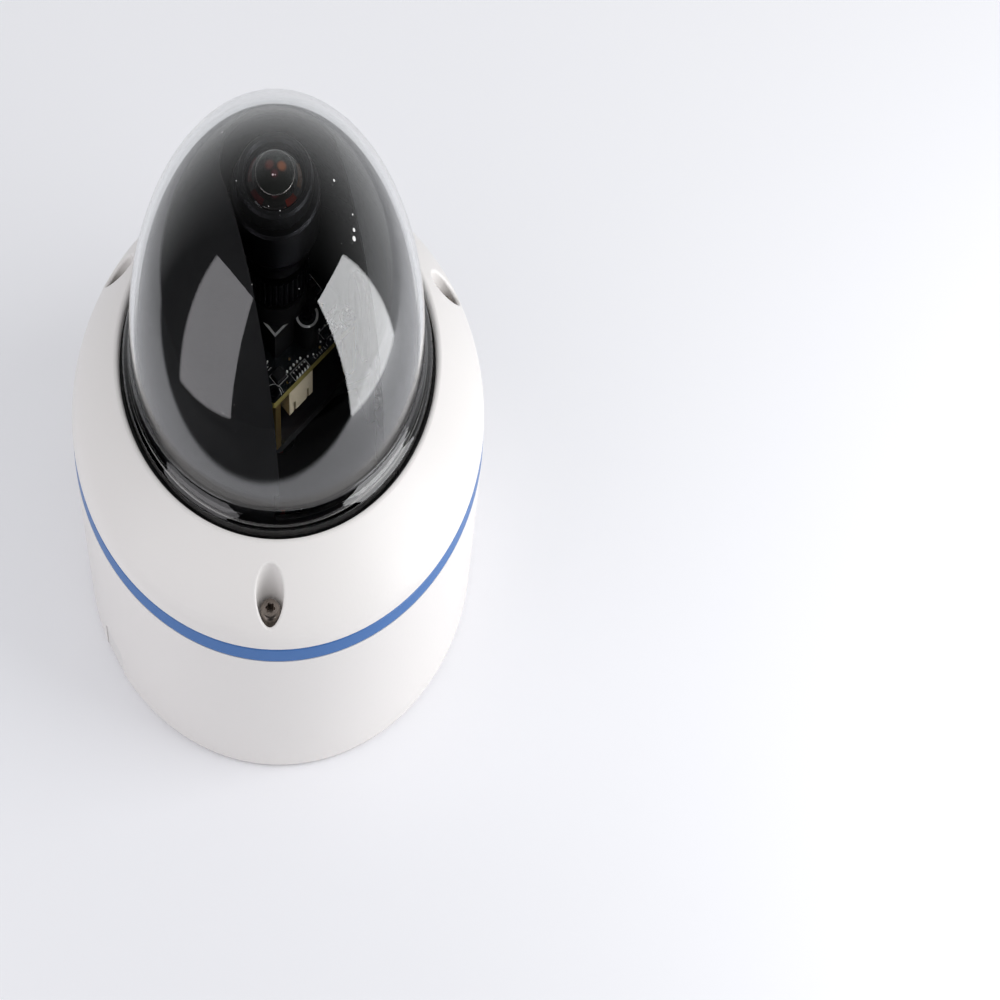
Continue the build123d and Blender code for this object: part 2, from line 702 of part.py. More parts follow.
for side, side_name in ((-1, "left"), (1, "right")):
    arm_face = Plane(origin=mechanism.from_local_coords((side * arm_inner, 0, 0)),
                     x_dir=mechanism.y_dir * side, z_dir=mechanism.x_dir * side)
    with BuildPart() as yoke_arm:
        with BuildSketch(arm_face) as arm_outline:
            with Locations((0, (table_top + tilt_height) / 2)):
                Rectangle(2 * arm_half_width, tilt_height - table_top)
            with Locations((0, tilt_height)):
                Circle(arm_half_width)
                Circle(pivot_radius + turning_gap, mode=Mode.SUBTRACT)
        extrude(arm_outline.sketch, amount=arm_thickness)
        foot_places = [(side * (arm_inner + foot_reach) / 2, 0)]
        block(table_top, table_top + foot_thickness, foot_reach - arm_inner, 2 * arm_half_width,
              places=foot_places, plane=mechanism)
        side_screws = [place for place in foot_screw_places if place[0] * side > 0]
        column(table_top, table_top + foot_thickness, foot_screw_radius + 0.1, places=side_screws,
               plane=mechanism, mode=Mode.SUBTRACT)
    pieces[f"yoke_arm_{side_name}"] = yoke_arm

with BuildPart() as yoke_screws:
    pan_screws(table_top + foot_thickness, foot_screw_places, foot_screw_radius, foot_screw_length,
               plane=mechanism)
pieces["yoke_screws"] = yoke_screws

# ---------------------------------------------------------------- tilt cradle

with BuildPart() as tilt_cradle:
    block(cradle_low, cradle_top, 2 * cheek_outer, 2 * cradle_half_width, corner=cradle_corner,
          plane=mechanism)
    for side in (-1, 1):
        cheek_face = Plane(origin=mechanism.from_local_coords((side * cheek_inner, 0, 0)),
                           x_dir=mechanism.y_dir * side, z_dir=mechanism.x_dir * side)
        with BuildSketch(cheek_face) as cheek_outline:
            with Locations((0, (cradle_low + tilt_height) / 2)):
                Rectangle(2 * cheek_half_width, tilt_height - cradle_low)
            with Locations((0, tilt_height)):
                Circle(cheek_half_width)
        extrude(cheek_outline.sketch, amount=cheek_thickness)
        with BuildSketch(cheek_face) as pivot_hole:
            with Locations((0, tilt_height)):
                Circle(pivot_radius + turning_gap)
        extrude(pivot_hole.sketch, amount=cheek_thickness, mode=Mode.SUBTRACT)
    column(cradle_low, cradle_top, roll_hub_radius + turning_gap, plane=mechanism, mode=Mode.SUBTRACT)
pieces["tilt_cradle"] = tilt_cradle

knob_face = arm_inner + arm_thickness + running_gap
scallop_count = 12
scallop_radius = 0.9
scallop_offset = 0.3        # centres of the scallops outside the knob
for side, side_name in ((-1, "left"), (1, "right")):
    knob_plane = Plane(origin=mechanism.from_local_coords((side * cheek_inner, 0, tilt_height)),
                       x_dir=mechanism.y_dir * side, z_dir=mechanism.x_dir * side)
    with BuildPart() as tilt_knob:
        with BuildSketch(knob_plane) as shaft_section:
            Circle(pivot_radius)
        extrude(shaft_section.sketch, amount=knob_face - cheek_inner)
        with BuildSketch(knob_plane.offset(knob_face - cheek_inner)) as knob_section:
            Circle(knob_radius)
            with PolarLocations(knob_radius + scallop_offset, scallop_count):
                Circle(scallop_radius, mode=Mode.SUBTRACT)
        extrude(knob_section.sketch, amount=knob_length)
    pieces[f"tilt_knob_{side_name}"] = tilt_knob

# ---------------------------------------------------------------- roll plate

roll_retainer_low = roll_hub_low - retainer_thickness
roll_screw_places = around((roll_hub_bore + roll_hub_radius) / 2, 3, 90)
roll_screw_radius = 0.8
roll_screw_grip = 2.0
roll_plate_corner = 4.0

with BuildPart() as roll_plate:
    block(roll_plate_low, roll_plate_top, sensor_board_size, sensor_board_size, corner=roll_plate_corner,
          plane=board_plane)
    column(roll_hub_low, roll_plate_low, roll_hub_radius, plane=board_plane)
    column(roll_hub_low, roll_plate_top, roll_hub_bore, plane=board_plane, mode=Mode.SUBTRACT)
    column(roll_hub_low, roll_hub_low + roll_screw_grip + running_gap, roll_screw_radius + turning_gap,
           places=roll_screw_places, plane=board_plane, mode=Mode.SUBTRACT)
pieces["roll_plate"] = roll_plate

with BuildPart() as roll_retainer:
    column(roll_retainer_low, roll_hub_low, roll_retainer_radius, bore=roll_hub_bore, plane=board_plane)
    column(roll_retainer_low, roll_hub_low, roll_screw_radius + turning_gap, places=roll_screw_places,
           plane=board_plane, mode=Mode.SUBTRACT)
pieces["roll_retainer"] = roll_retainer

with BuildPart() as roll_retainer_screws:
    pan_screws(roll_retainer_low, roll_screw_places, roll_screw_radius, retainer_thickness + roll_screw_grip,
               plane=board_plane, upwards=True)
pieces["roll_retainer_screws"] = roll_retainer_screws

board_screw_radius = 1.0
board_screw_length = 4.0
with BuildPart() as sensor_standoffs:
    with BuildSketch(board_plane.offset(roll_plate_top)) as standoff_section:
        with Locations(*board_hole_places):
            RegularPolygon(standoff_across_flats / 2, 6, major_radius=False)
    extrude(standoff_section.sketch, amount=sensor_board_low - roll_plate_top)
    column(sensor_board_low - board_screw_length, sensor_board_low, board_screw_radius + turning_gap,
           places=board_hole_places, plane=board_plane, mode=Mode.SUBTRACT)
pieces["sensor_standoffs"] = sensor_standoffs

# ---------------------------------------------------------------- sensor board

with BuildPart() as sensor_board:
    block(sensor_board_low, sensor_board_top, sensor_board_size, sensor_board_size, corner=board_corner,
          plane=board_plane)
    column(sensor_board_low, sensor_board_top, board_hole_radius, places=board_hole_places,
           plane=board_plane, mode=Mode.SUBTRACT)
pieces["sensor_board"] = sensor_board

with BuildPart() as sensor_board_screws:
    pan_screws(sensor_board_top, board_hole_places, board_screw_radius, board_screw_length, plane=board_plane)
pieces["sensor_board_screws"] = sensor_board_screws

front_edge = -sensor_board_size / 2
mount_front = -mount_size / 2
resistor_pitch = 1.2
resistor_count = 5
resistor_length, resistor_width, resistor_height = 0.8, 1.6, 0.45
resistor_places = [(-3.1 - resistor_pitch * step, mount_front - 8.2) for step in range(resistor_count)]
small_part_length, small_part_width, small_part_height = 1.6, 0.9, 0.5
small_part_places = [(mount_front - 3.2, mount_front + 14.0), (-mount_front + 3.2, mount_front + 14.6),
                     (7.6, mount_front - 4.9), (6.1, mount_front - 7.6), (9.5, mount_front - 6.6),
                     (-mount_front + 1.5, mount_front - 3.0), (-10.2, mount_front - 8.1)]
driver_chip_length, driver_chip_width, driver_chip_height = 3.6, 3.2, 0.9
driver_chip_place = (mount_front - 2.6, mount_front - 4.5)
side_chip_length, side_chip_width, side_chip_height = 3.0, 2.4, 0.8
side_chip_places = [(mount_front - 4.0, -1.0), (-mount_front + 4.0, -1.5)]

with BuildPart() as sensor_board_chips:
    for places, length, width, height in (
            ([driver_chip_place], driver_chip_length, driver_chip_width, driver_chip_height),
            (side_chip_places, side_chip_length, side_chip_width, side_chip_height),
            (resistor_places, resistor_length, resistor_width, resistor_height),
            (small_part_places, small_part_length, small_part_width, small_part_height)):
        block(sensor_board_top, sensor_board_top + height, length, width, places=places, plane=board_plane)
pieces["sensor_board_chips"] = sensor_board_chips

connector_height = 7.3
connector_inset = 0.4       # of the connector's face behind the board's edge
connector_shift = 6.2       # of its middle towards the left corner
connector_face = front_edge + connector_inset
connector_centre = (-connector_shift, connector_face + connector_width / 2)
connector_wall = 0.7
connector_low = sensor_board_low - connector_height
key_width, key_height, key_spread = 1.0, 2.6, 3.0
key_places = [(connector_centre[0] + side * key_spread, connector_face) for side in (-1, 1)]

with BuildPart() as lead_connector:
    block(connector_low, sensor_board_low, connector_length, connector_width, places=[connector_centre],
          plane=board_plane)
    block(connector_low, sensor_board_low - connector_wall, connector_length - 2 * connector_wall,
          connector_width - 2 * connector_wall, places=[connector_centre], plane=board_plane,
          mode=Mode.SUBTRACT)
    block(connector_low, connector_low + key_height, key_width, 2 * connector_wall, places=key_places,
          plane=board_plane, mode=Mode.SUBTRACT)
pieces["lead_connector"] = lead_connector

plug_play = 0.2             # all round the plug in the connector
plug_stand = 0.8            # of the plug below the connector
plug_low = connector_low - plug_stand
plug_inset = 2 * (connector_wall + plug_play)
with BuildPart() as lead_plug:
    block(plug_low, sensor_board_low - connector_wall - running_gap, connector_length - plug_inset,
          connector_width - plug_inset, places=[connector_centre], plane=board_plane)
pieces["lead_plug"] = lead_plug

lead_run_height = plug_low - lead_bend - 0.2
lead_end = roll_hub_low + 0.5       # just inside the hub
lead_starts = [(connector_centre[0] + pin, connector_centre[1], plug_low) for pin in pin_row]
lead_ends = [(lead, -lead_offset, lead_end) for lead in lead_row]

with BuildPart() as sensor_leads:
    bundle(lead_starts, lead_ends, lead_run_height, board_plane)
pieces["sensor_leads"] = sensor_leads

# ---------------------------------------------------------------- lens

package_size, package_height = 11.0, 1.8
window_size, window_depth = 8.0, 0.6
package_top = sensor_board_top + package_height
with BuildPart() as image_sensor:
    block(sensor_board_top, package_top, package_size, package_size, plane=board_plane)
    block(package_top - window_depth, package_top, window_size, window_size, plane=board_plane,
          mode=Mode.SUBTRACT)
pieces["image_sensor"] = image_sensor

mount_top = sensor_board_top + mount_height
block_top = sensor_board_top + mount_block_height
ear_distance = mount_size / 2 + mount_ear_reach
mount_ear_places = [(side * mount_ear_shift, -side * ear_distance) for side in (1, -1)]
mount_screw_radius = 1.0
mount_screw_length = mount_block_height - 1.0
mount_screw_tip = block_top - mount_screw_length - running_gap
with BuildPart() as lens_mount:
    block(sensor_board_top, block_top, mount_size, mount_size, plane=board_plane)
    column(sensor_board_top, block_top, mount_ear_radius, places=mount_ear_places, plane=board_plane)
    for side in (1, -1):
        block(sensor_board_top, block_top, 2 * mount_ear_radius, mount_ear_reach,
              places=[(side * mount_ear_shift, -side * (ear_distance - mount_ear_reach / 2))],
              plane=board_plane)
    column(block_top, mount_top, mount_collar_radius, plane=board_plane)
    block(sensor_board_top, barrel_low, mount_cavity, mount_cavity, plane=board_plane, mode=Mode.SUBTRACT)
    column(barrel_low, mount_top, barrel_radius + turning_gap, plane=board_plane, mode=Mode.SUBTRACT)
    column(mount_screw_tip, block_top, mount_screw_radius + turning_gap, places=mount_ear_places,
           plane=board_plane, mode=Mode.SUBTRACT)
pieces["lens_mount"] = lens_mount

with BuildPart() as lens_mount_screws:
    pan_screws(block_top, mount_ear_places, mount_screw_radius, mount_screw_length, plane=board_plane)
pieces["lens_mount_screws"] = lens_mount_screws

with BuildPart() as lens_barrel:
    column(barrel_low + running_gap, barrel_top, barrel_radius, bore=barrel_bore)
pieces["lens_barrel"] = lens_barrel

ring_low = mount_top + focus_ring_low_gap
head_low = head_front - head_length
ridge_count = 36
ridge_gap_radius = 0.6
ridge_gap_offset = 0.25     # centres of the grooves outside the ring
with BuildPart() as focus_ring:
    with BuildSketch(Plane.XY.offset(ring_low)) as ring_section:
        Circle(focus_ring_radius)
        with PolarLocations(focus_ring_radius + ridge_gap_offset, ridge_count):
            Circle(ridge_gap_radius, mode=Mode.SUBTRACT)
        Circle(barrel_radius + turning_gap, mode=Mode.SUBTRACT)
    extrude(ring_section.sketch, amount=head_low - focus_ring_top_gap - ring_low)
pieces["focus_ring"] = focus_ring

head_shoulder = head_front - head_step_depth
head_bore = barrel_radius + turning_gap
head_neck_radius = head_radius - 4.0
head_neck_top = head_low + 2.5
head_flare_top = head_low + 7.0
head_bevel = 0.6
glass_bore = front_glass_radius + turning_gap
glass_bevel = 0.7
glass_seat = barrel_top + 1.0
with BuildPart() as lens_head:
    turned([(head_bore, head_low), (head_neck_radius, head_low), (head_neck_radius, head_neck_top),
            (head_radius, head_flare_top), (head_radius, head_shoulder - head_bevel),
            (head_radius - head_bevel, head_shoulder), (head_front_radius, head_shoulder),
            (head_front_radius, head_front - head_bevel), (head_front_radius - head_bevel, head_front),
            (glass_bore + glass_bevel, head_front), (glass_bore, head_front - glass_bevel),
            (glass_bore, glass_seat), (head_bore, glass_seat)])
pieces["lens_head"] = lens_head

glass_edge = head_front - 1.5
glass_back_radius = front_glass_radius - 1.8
with BuildPart() as front_element:
    with BuildSketch(Plane.XZ):
        with BuildLine():
            cap_arc(front_glass_radius, glass_edge, glass_top)
            Polyline((front_glass_radius, glass_edge), (front_glass_radius, glass_seat),
                     (glass_back_radius, glass_seat))
            cap_arc(glass_back_radius, glass_seat, glass_top - front_glass_thickness)
            Line((0, glass_top - front_glass_thickness), (0, glass_top))
        make_face()
    revolve(axis=Axis.Z)
pieces["front_element"] = front_element

element_radius = barrel_bore - turning_gap
inner_ring_top = barrel_top - 0.2
inner_ring_height = 1.6
inner_ring_bore = barrel_bore - 0.8
with BuildPart() as inner_lens_ring:
    column(inner_ring_top - inner_ring_height, inner_ring_top, element_radius, bore=inner_ring_bore)
pieces["inner_lens_ring"] = inner_lens_ring

inner_low = inner_ring_top - 6.0
inner_edge = inner_ring_top - inner_ring_height
inner_cap_radius = barrel_bore - 1.0
inner_cap_rise = 1.5
with BuildPart() as inner_element:
    with BuildSketch(Plane.XZ):
        with BuildLine():
            Polyline((0, inner_low), (element_radius, inner_low), (element_radius, inner_edge),
                     (inner_cap_radius, inner_edge))
            cap_arc(inner_cap_radius, inner_edge, inner_edge + inner_cap_rise)
            Line((0, inner_edge + inner_cap_rise), (0, inner_low))
        make_face()
    revolve(axis=Axis.Z)
pieces["inner_element"] = inner_element

rear_low = barrel_low + 1.3
rear_thickness = 3.0
with BuildPart() as rear_element:
    column(rear_low, rear_low + rear_thickness, element_radius)
    fillet(rear_element.edges().group_by(Axis.Z)[-1], 1.0)
pieces["rear_element"] = rear_element

# ---------------------------------------------------------------- files

os.makedirs("parts", exist_ok=True)
for name, piece in pieces.items():
    piece.part.label = name
    export_step(piece.part, f"parts/{name}.step")
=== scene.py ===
# %% [markdown]
# # A dome security camera, dressed in Blender
# The solid parts arrive packed as a frame: each part is an object that sits at the origin, and it moves
# with one body of the mechanism. This lesson gives each part its finish, and adds what is too fine for
# the solids: printing and solder on the circuit board, dust, a painted highlight on the lens mount, and the
# painted reflections of red and amber inside the lens.
# First the frame is loaded.

# %% Load the frame
import math

import bmesh
import bpy
from mathutils import Matrix, Quaternion, Vector


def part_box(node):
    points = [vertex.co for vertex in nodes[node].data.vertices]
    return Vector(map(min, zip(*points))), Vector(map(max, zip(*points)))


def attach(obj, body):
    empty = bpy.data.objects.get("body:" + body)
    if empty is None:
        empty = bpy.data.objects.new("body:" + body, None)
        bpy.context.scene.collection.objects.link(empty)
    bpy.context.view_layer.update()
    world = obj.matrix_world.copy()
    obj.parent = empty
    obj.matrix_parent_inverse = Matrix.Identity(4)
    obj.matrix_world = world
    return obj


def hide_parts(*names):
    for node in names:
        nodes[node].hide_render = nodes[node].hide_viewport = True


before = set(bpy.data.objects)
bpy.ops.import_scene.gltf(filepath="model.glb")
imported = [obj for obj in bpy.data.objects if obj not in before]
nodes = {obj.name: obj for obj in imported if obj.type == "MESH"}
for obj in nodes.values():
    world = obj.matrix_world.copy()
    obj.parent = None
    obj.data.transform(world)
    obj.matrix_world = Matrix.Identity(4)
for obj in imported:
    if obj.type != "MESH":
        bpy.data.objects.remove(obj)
scene = bpy.context.scene
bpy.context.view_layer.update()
millimetre = 0.001

# %% [markdown]
# ## The camera
# The picture plane of an ordinary camera stands square to its line of sight. A view camera can lay its back
# almost flat, in parallel with the table, and still look at the object from the front: rings that lie flat
# then keep their round shape, and upright things are drawn tall. Blender has no such back, but an object's
# axes may lean when it hangs on a parent, so the camera gets its three axes one by one: across the picture,
# up the picture, and back along its sight.

# %% The camera
viewpoint = Vector((0.1541, -0.9949, 1.0665))
across = Vector((0.9957, 0.0573, 0.0731)).normalized()
upwards = Vector((-0.1349, 0.9847, -0.1102)).normalized()
sight = Vector((-0.0519, 0.6918, -0.7203)).normalized()

camera_data = bpy.data.cameras.new("camera")
camera_data.sensor_width = 36.0
camera_data.lens = 143.6
camera_data.clip_start, camera_data.clip_end = 0.05, 50.0
camera = bpy.data.objects.new("camera", camera_data)
tripod = bpy.data.objects.new("tripod", None)
for thing in (camera, tripod):
    scene.collection.objects.link(thing)
leaning = Matrix((across, upwards, -sight)).transposed().to_4x4()
leaning.translation = viewpoint
camera.parent = tripod
camera.matrix_parent_inverse = leaning
camera.matrix_basis = Matrix.Identity(4)
scene.camera = camera
print("camera height:", round(viewpoint.z, 3), "m, lens:", camera_data.lens, "mm")

# %% [markdown]
# ## Shader maths written as sums
# A finish is a small tree of nodes. Wire holds one output of a node, and the usual signs on it add Math
# nodes, so a mask can be written as `1 - speckle * 0.2`. Finish owns a material or the world and makes every
# other node with one method: its type, its settings, and what goes into its sockets.

# %% Wire and Finish
class Wire:
    """One output of a node, with the signs of arithmetic."""

    def __init__(self, finish, socket):
        self.finish, self.socket = finish, socket

    def work(self, operation, first, second):
        return self.finish.node("ShaderNodeMath", {"operation": operation}, {0: first, 1: second})

    def __add__(self, other):
        return self.work("ADD", self, other)

    def __radd__(self, other):
        return self.work("ADD", other, self)

    def __sub__(self, other):
        return self.work("SUBTRACT", self, other)

    def __rsub__(self, other):
        return self.work("SUBTRACT", other, self)

    def __mul__(self, other):
        return self.work("MULTIPLY", self, other)

    def __rmul__(self, other):
        return self.work("MULTIPLY", other, self)

    def __gt__(self, other):
        return self.work("GREATER_THAN", self, other)

    def __lt__(self, other):
        return self.work("LESS_THAN", self, other)


class Finish:
    """A material, or the world, whose nodes are all made by one method."""

    def __init__(self, name, owners=None, output="ShaderNodeOutputMaterial"):
        self.made = (bpy.data.materials if owners is None else owners).new(name)
        self.made.use_nodes = True
        self.tree = self.made.node_tree
        self.tree.nodes.clear()
        self.out = self.tree.nodes.new(output)

    def node(self, kind, settings=None, sockets=None, output=0):
        made = self.tree.nodes.new(kind)
        for name, value in (settings or {}).items():
            if name == "stops":
                ramp = made.color_ramp
                while len(ramp.elements) < len(value):
                    ramp.elements.new(0.5)
                for element, (place, colour) in zip(ramp.elements, value):
                    element.position, element.color = place, (*colour, 1.0)
            else:
                setattr(made, name, value)
        for name, value in (sockets or {}).items():
            if isinstance(value, Wire):
                self.tree.links.new(value.socket, made.inputs[name])
            else:
                made.inputs[name].default_value = value
        return Wire(self, made.outputs[output])

    def place(self, turn=0.0, stretch=(1.0, 1.0, 1.0)):
        """Object coordinates, turned about Z by degrees and stretched."""
        coordinates = self.node("ShaderNodeTexCoord", output="Object")
        return self.node("ShaderNodeMapping", None, {
            "Vector": coordinates, "Rotation": (0.0, 0.0, math.radians(-turn)), "Scale": stretch})

    def grain(self, scale, detail=2.0, stretch=(1.0, 1.0, 1.0), turn=0.0):
        return self.node("ShaderNodeTexNoise", None, {
            "Vector": self.place(turn, stretch), "Scale": scale, "Detail": detail})

    def blend(self, factor, first, second):
        """Two colours mixed; the colour sockets of a Mix node are its sixth and seventh."""
        return self.node("ShaderNodeMix", {"data_type": "RGBA"}, {0: factor, 6: first, 7: second}, 2)

    def ramp(self, factor, stops):
        return self.node("ShaderNodeValToRGB", {"stops": stops}, {"Fac": factor})

    def bump(self, height, strength, depth):
        return self.node("ShaderNodeBump", None, {
            "Height": height, "Strength": strength, "Distance": depth})

    def mirrored(self):
        """1 for a ray that a mirroring surface or glass sends on, 0 for the eye's own and for even light."""
        thrown = self.node("ShaderNodeLightPath", output="Is Glossy Ray")
        passed = self.node("ShaderNodeLightPath", output="Is Transmission Ray")
        return self.node("ShaderNodeMath", {"operation": "MAXIMUM"}, {0: thrown, 1: passed})

    def surface(self, **sockets):
        names = {name.replace("_", " "): value for name, value in sockets.items()}
        return self.node("ShaderNodeBsdfPrincipled", None, names)

    def finish_with(self, shader):
        self.tree.links.new(shader.socket, self.out.inputs["Surface"])
        return self.made


def rgba(red, green, blue):
    return (red, green, blue, 1.0)


print("shader helpers ready")

# %% [markdown]
# ## Powder coat
# The housing is cast aluminium under a baked powder coat. Such a coat is never quite flat: it flows out to
# a very fine orange peel. A noise with cells of about a millimetre drives a faint bump, and a wide noise
# moves the roughness a little, as hands and handling do.

# %% Powder coat
def powder_coat(name, colour, shade, gloss):
    finish = Finish(name)
    peel = finish.grain(900.0, 3.0)
    handled = finish.grain(22.0, 4.0)
    tone = finish.blend(handled, rgba(*colour), rgba(*(part * shade for part in colour)))
    return finish.finish_with(finish.surface(
        Base_Color=tone, Roughness=gloss + handled * 0.12,
        Normal=finish.bump(peel, 0.12, 0.0002)))


white_coat = powder_coat("white_powder_coat", (0.80, 0.775, 0.755), 0.985, 0.32)
black_coat = powder_coat("black_powder_coat", (0.014, 0.014, 0.015), 0.8, 0.48)
print("coats:", white_coat.name, black_coat.name)

# %% [markdown]
# ## Plastics and rubber
# The blue band, the dark liner and the knobs are moulded. A moulding carries the fine spark-eroded grain of
# its mould, so one helper gives colour, gloss and grain. Its last value, shine, is how strongly the surface
# mirrors: the liner and the dark parts are made dull, to keep stray light out of the lens. Silicone seals are
# duller still, with dust on them.

# %% Mouldings and rubber
def moulding(name, colour, gloss, grain_scale, grain_depth, marbling=0.06, shine=0.5):
    finish = Finish(name)
    mould_grain = finish.grain(grain_scale, 2.0)
    cloud = finish.grain(60.0, 3.0)
    tone = finish.blend(cloud, rgba(*colour), rgba(*(part * (1 - marbling) for part in colour)))
    return finish.finish_with(finish.surface(
        Base_Color=tone, Roughness=gloss + mould_grain * 0.08, Specular_IOR_Level=shine,
        Normal=finish.bump(mould_grain, 0.25, grain_depth)))


def silicone(name, colour):
    finish = Finish(name)
    dust = finish.grain(700.0, 4.0)
    tone = finish.ramp(dust, [(0.55, colour), (0.8, tuple(part + 0.05 for part in colour))])
    return finish.finish_with(finish.surface(
        Base_Color=tone, Roughness=0.62 + dust * 0.2, Normal=finish.bump(dust, 0.2, 0.0001)))


band_plastic = moulding("blue_moulding", (0.055, 0.165, 0.43), 0.34, 1500.0, 0.00005)
liner_plastic = moulding("liner_moulding", (0.008, 0.008, 0.009), 0.5, 2200.0, 0.00006, 0.06, 0.25)
dark_plastic = moulding("dark_moulding", (0.004, 0.004, 0.0045), 0.6, 1800.0, 0.0001, 0.06, 0.18)
chip_plastic = moulding("chip_moulding", (0.012, 0.012, 0.013), 0.55, 2600.0, 0.00005, 0.06, 0.25)
sensor_plastic = moulding("sensor_package", (0.05, 0.045, 0.06), 0.3, 1800.0, 0.00003)
white_plastic = moulding("white_moulding", (0.76, 0.745, 0.73), 0.4, 1500.0, 0.00005, 0.02)
nylon = moulding("natural_nylon", (0.60, 0.52, 0.38), 0.4, 1200.0, 0.00004, 0.1)
seal_rubber = silicone("seal_rubber", (0.012, 0.012, 0.012))
red_insulation = silicone("red_insulation", (0.22, 0.012, 0.010))
print("mouldings ready")

# %% [markdown]
# ## Metals
# A turned or rolled surface has fine lines one way and none the other. Noise stretched along one axis gives
# these lines to the roughness and to a faint bump. Zinc, dark stainless steel, brass and the tinned shield
# of the jack differ in colour and in how rough they are.

# %% Metals
def worked_metal(name, colour, gloss, stretch=(1.0, 1.0, 14.0), stain=0.25):
    finish = Finish(name)
    lines = finish.grain(500.0, 3.0, stretch)
    tarnish = finish.grain(90.0, 4.0)
    tone = finish.blend(tarnish, rgba(*colour), rgba(*(part * (1 - stain) for part in colour)))
    return finish.finish_with(finish.surface(
        Base_Color=tone, Metallic=1.0, Roughness=gloss + lines * 0.15 + tarnish * 0.08,
        Normal=finish.bump(lines, 0.1, 0.0001)))


zinc_plate = worked_metal("zinc_plate", (0.55, 0.55, 0.54), 0.28)
dark_steel = worked_metal("dark_steel", (0.42, 0.37, 0.33), 0.22, stain=0.45)
bright_edge = worked_metal("bright_edge", (0.70, 0.70, 0.69), 0.12, stain=0.1)
turned_brass = worked_metal("turned_brass", (0.62, 0.45, 0.18), 0.24)
tinned_shield = worked_metal("tinned_shield", (0.62, 0.62, 0.60), 0.3, (14.0, 1.0, 1.0))
anodised_black = worked_metal("anodised_black", (0.020, 0.020, 0.022), 0.3, (1.0, 1.0, 30.0), 0.2)
print("metals ready")

# %% [markdown]
# ## Circuit boards
# A board is glass fibre, brown-gold at its sawn edge, under a black solder mask. Copper tracks show through
# the mask as faint raised lanes, and plated holes as gold dots. The core shows only between the two faces,
# so the height of a point tells the edge from the mask. Voronoi cells place the dots, and the colour that
# Voronoi gives each cell chooses which cells get one.

# %% Circuit board
mask_thickness = 0.02 * millimetre


def circuit_board(name, low, high, turn):
    finish = Finish(name)
    height = finish.node("ShaderNodeSeparateXYZ", None, {0: finish.place()}, output="Z")
    core = (height > low + mask_thickness) * (height < high - mask_thickness)
    lanes = (finish.grain(260.0, 0.0, (1.0, 9.0, 1.0), turn) > 0.56) * 0.5
    lanes = lanes + (finish.grain(260.0, 0.0, (9.0, 1.0, 1.0), turn) > 0.58) * 0.5
    mask = finish.blend(lanes, rgba(0.006, 0.007, 0.008), rgba(0.012, 0.014, 0.015))
    cell = {"Vector": finish.place(turn), "Scale": 560.0}
    dot = finish.node("ShaderNodeTexVoronoi", {"feature": "F1"}, cell) < 0.13
    chosen = finish.node("ShaderNodeTexVoronoi", {"feature": "F1"}, cell, "Color")
    plated = dot * (finish.node("ShaderNodeSeparateColor", None, {0: chosen}) > 0.72)
    tone = finish.blend(plated, mask, rgba(0.75, 0.56, 0.24))
    tone = finish.blend(core, tone, rgba(0.17, 0.14, 0.035))
    metal = plated * (1 - core)
    return finish.finish_with(finish.surface(
        Base_Color=tone, Metallic=metal, Roughness=0.26 + core * 0.3,
        Normal=finish.bump(lanes, 0.35, 0.00004)))


board_low, board_high = (corner.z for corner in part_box("sensor_board"))
base_low, base_high = (corner.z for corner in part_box("main_board"))
board_turn, base_turn = 50.0, 20.0      # degrees about the upright axis
lens_board = circuit_board("lens_board", board_low, board_high, board_turn)
base_board = circuit_board("base_board", base_low, base_high, base_turn)
print("lens board:", round(board_low, 4), "to", round(board_high, 4))

# %% [markdown]
# ## The clear dome and the lens glass
# The dome is polished polycarbonate under a hard coat. It bends what is behind its edge and shows the lamps
# as windows. The index of bare polycarbonate is 1.58; the dome gets a higher one, because a coat mirrors
# more. Light would hardly find its way through two bent walls, so a ray that asks for shadow goes straight
# on: the Mix Shader takes Light Path's shadow answer as its factor. Dust is a scatter of tiny dull flecks.
# Lens glass mirrors little, because it is coated. The red and amber that coatings inside a lens throw back are
# painted here as painted reflections: glowing spots on a dark face, and coloured petals.

# %% Glass
def see_through(finish, body):
    """Lets shadow rays pass straight through a clear body."""
    shadow_ray = finish.node("ShaderNodeLightPath", output="Is Shadow Ray")
    straight = finish.node("ShaderNodeBsdfTransparent")
    return finish.node("ShaderNodeMixShader", None, {0: shadow_ray, 1: body, 2: straight})


coated_index = 1.75


def polished_dome(name):
    finish = Finish(name)
    clear = finish.surface(Base_Color=rgba(0.97, 0.98, 0.98), Roughness=0.0, IOR=coated_index,
                           Transmission_Weight=1.0)
    cell = {"Vector": finish.place(), "Scale": 260.0}
    fleck = finish.node("ShaderNodeTexVoronoi", {"feature": "F1"}, cell) < 0.035
    chosen = finish.node("ShaderNodeTexVoronoi", {"feature": "F1"}, cell, "Color")
    dust = fleck * (finish.node("ShaderNodeSeparateColor", None, {0: chosen}) > 0.86)
    dull = finish.surface(Base_Color=rgba(0.8, 0.8, 0.8), Roughness=0.7)
    dusty = finish.node("ShaderNodeMixShader", None, {0: dust, 1: clear, 2: dull})
    return finish.finish_with(see_through(finish, dusty))


def lens_glass(name, colour, index):
    finish = Finish(name)
    glass = finish.surface(Base_Color=rgba(*colour), Roughness=0.0, IOR=index, Transmission_Weight=1.0,
                           Specular_IOR_Level=0.12)
    return finish.finish_with(see_through(finish, glass))


